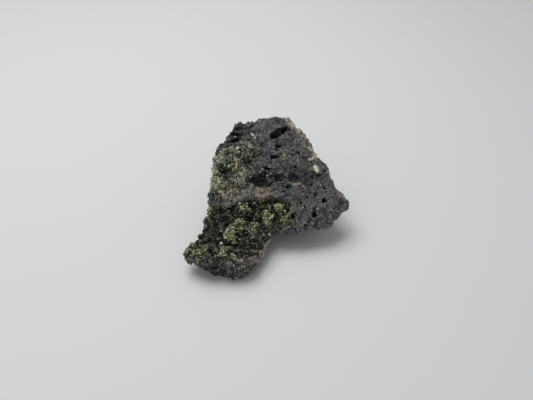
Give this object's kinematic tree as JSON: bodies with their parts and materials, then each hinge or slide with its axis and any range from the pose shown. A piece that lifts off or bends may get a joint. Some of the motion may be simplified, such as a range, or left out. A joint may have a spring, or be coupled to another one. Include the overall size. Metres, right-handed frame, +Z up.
{
  "type": "peridot on basalt specimen",
  "caption": "Hand-size wedge of dark vesicular basalt with granular green peridot in a lower pocket and an upper patch, resting on its broken base.",
  "frame": {"origin": "under the middle of the stone's bounding box, on the surface that it rests on", "axes": "+Z up; +X towards the bare right-hand tip; +Y from the low front lobe to the high back edge"},
  "size_m": [0.0742, 0.0722, 0.0405],
  "materials": {
    "basalt": "rough, dark grey, finely speckled, with tan linings in the open gas cavities",
    "peridot": "glassy yellow-green crystal grains with deep green and black grains between them",
    "weathered_peridot": "duller olive-green crystal grains with tan weathering",
    "cream_mineral": "waxy cream crystal"
  },
  "bodies": {
    "root": {"basalt_matrix": "basalt", "peridot_nodule": "peridot", "peridot_patch": "weathered_peridot", "cream_grain": "cream_mineral"}
  },
  "joints": []
}
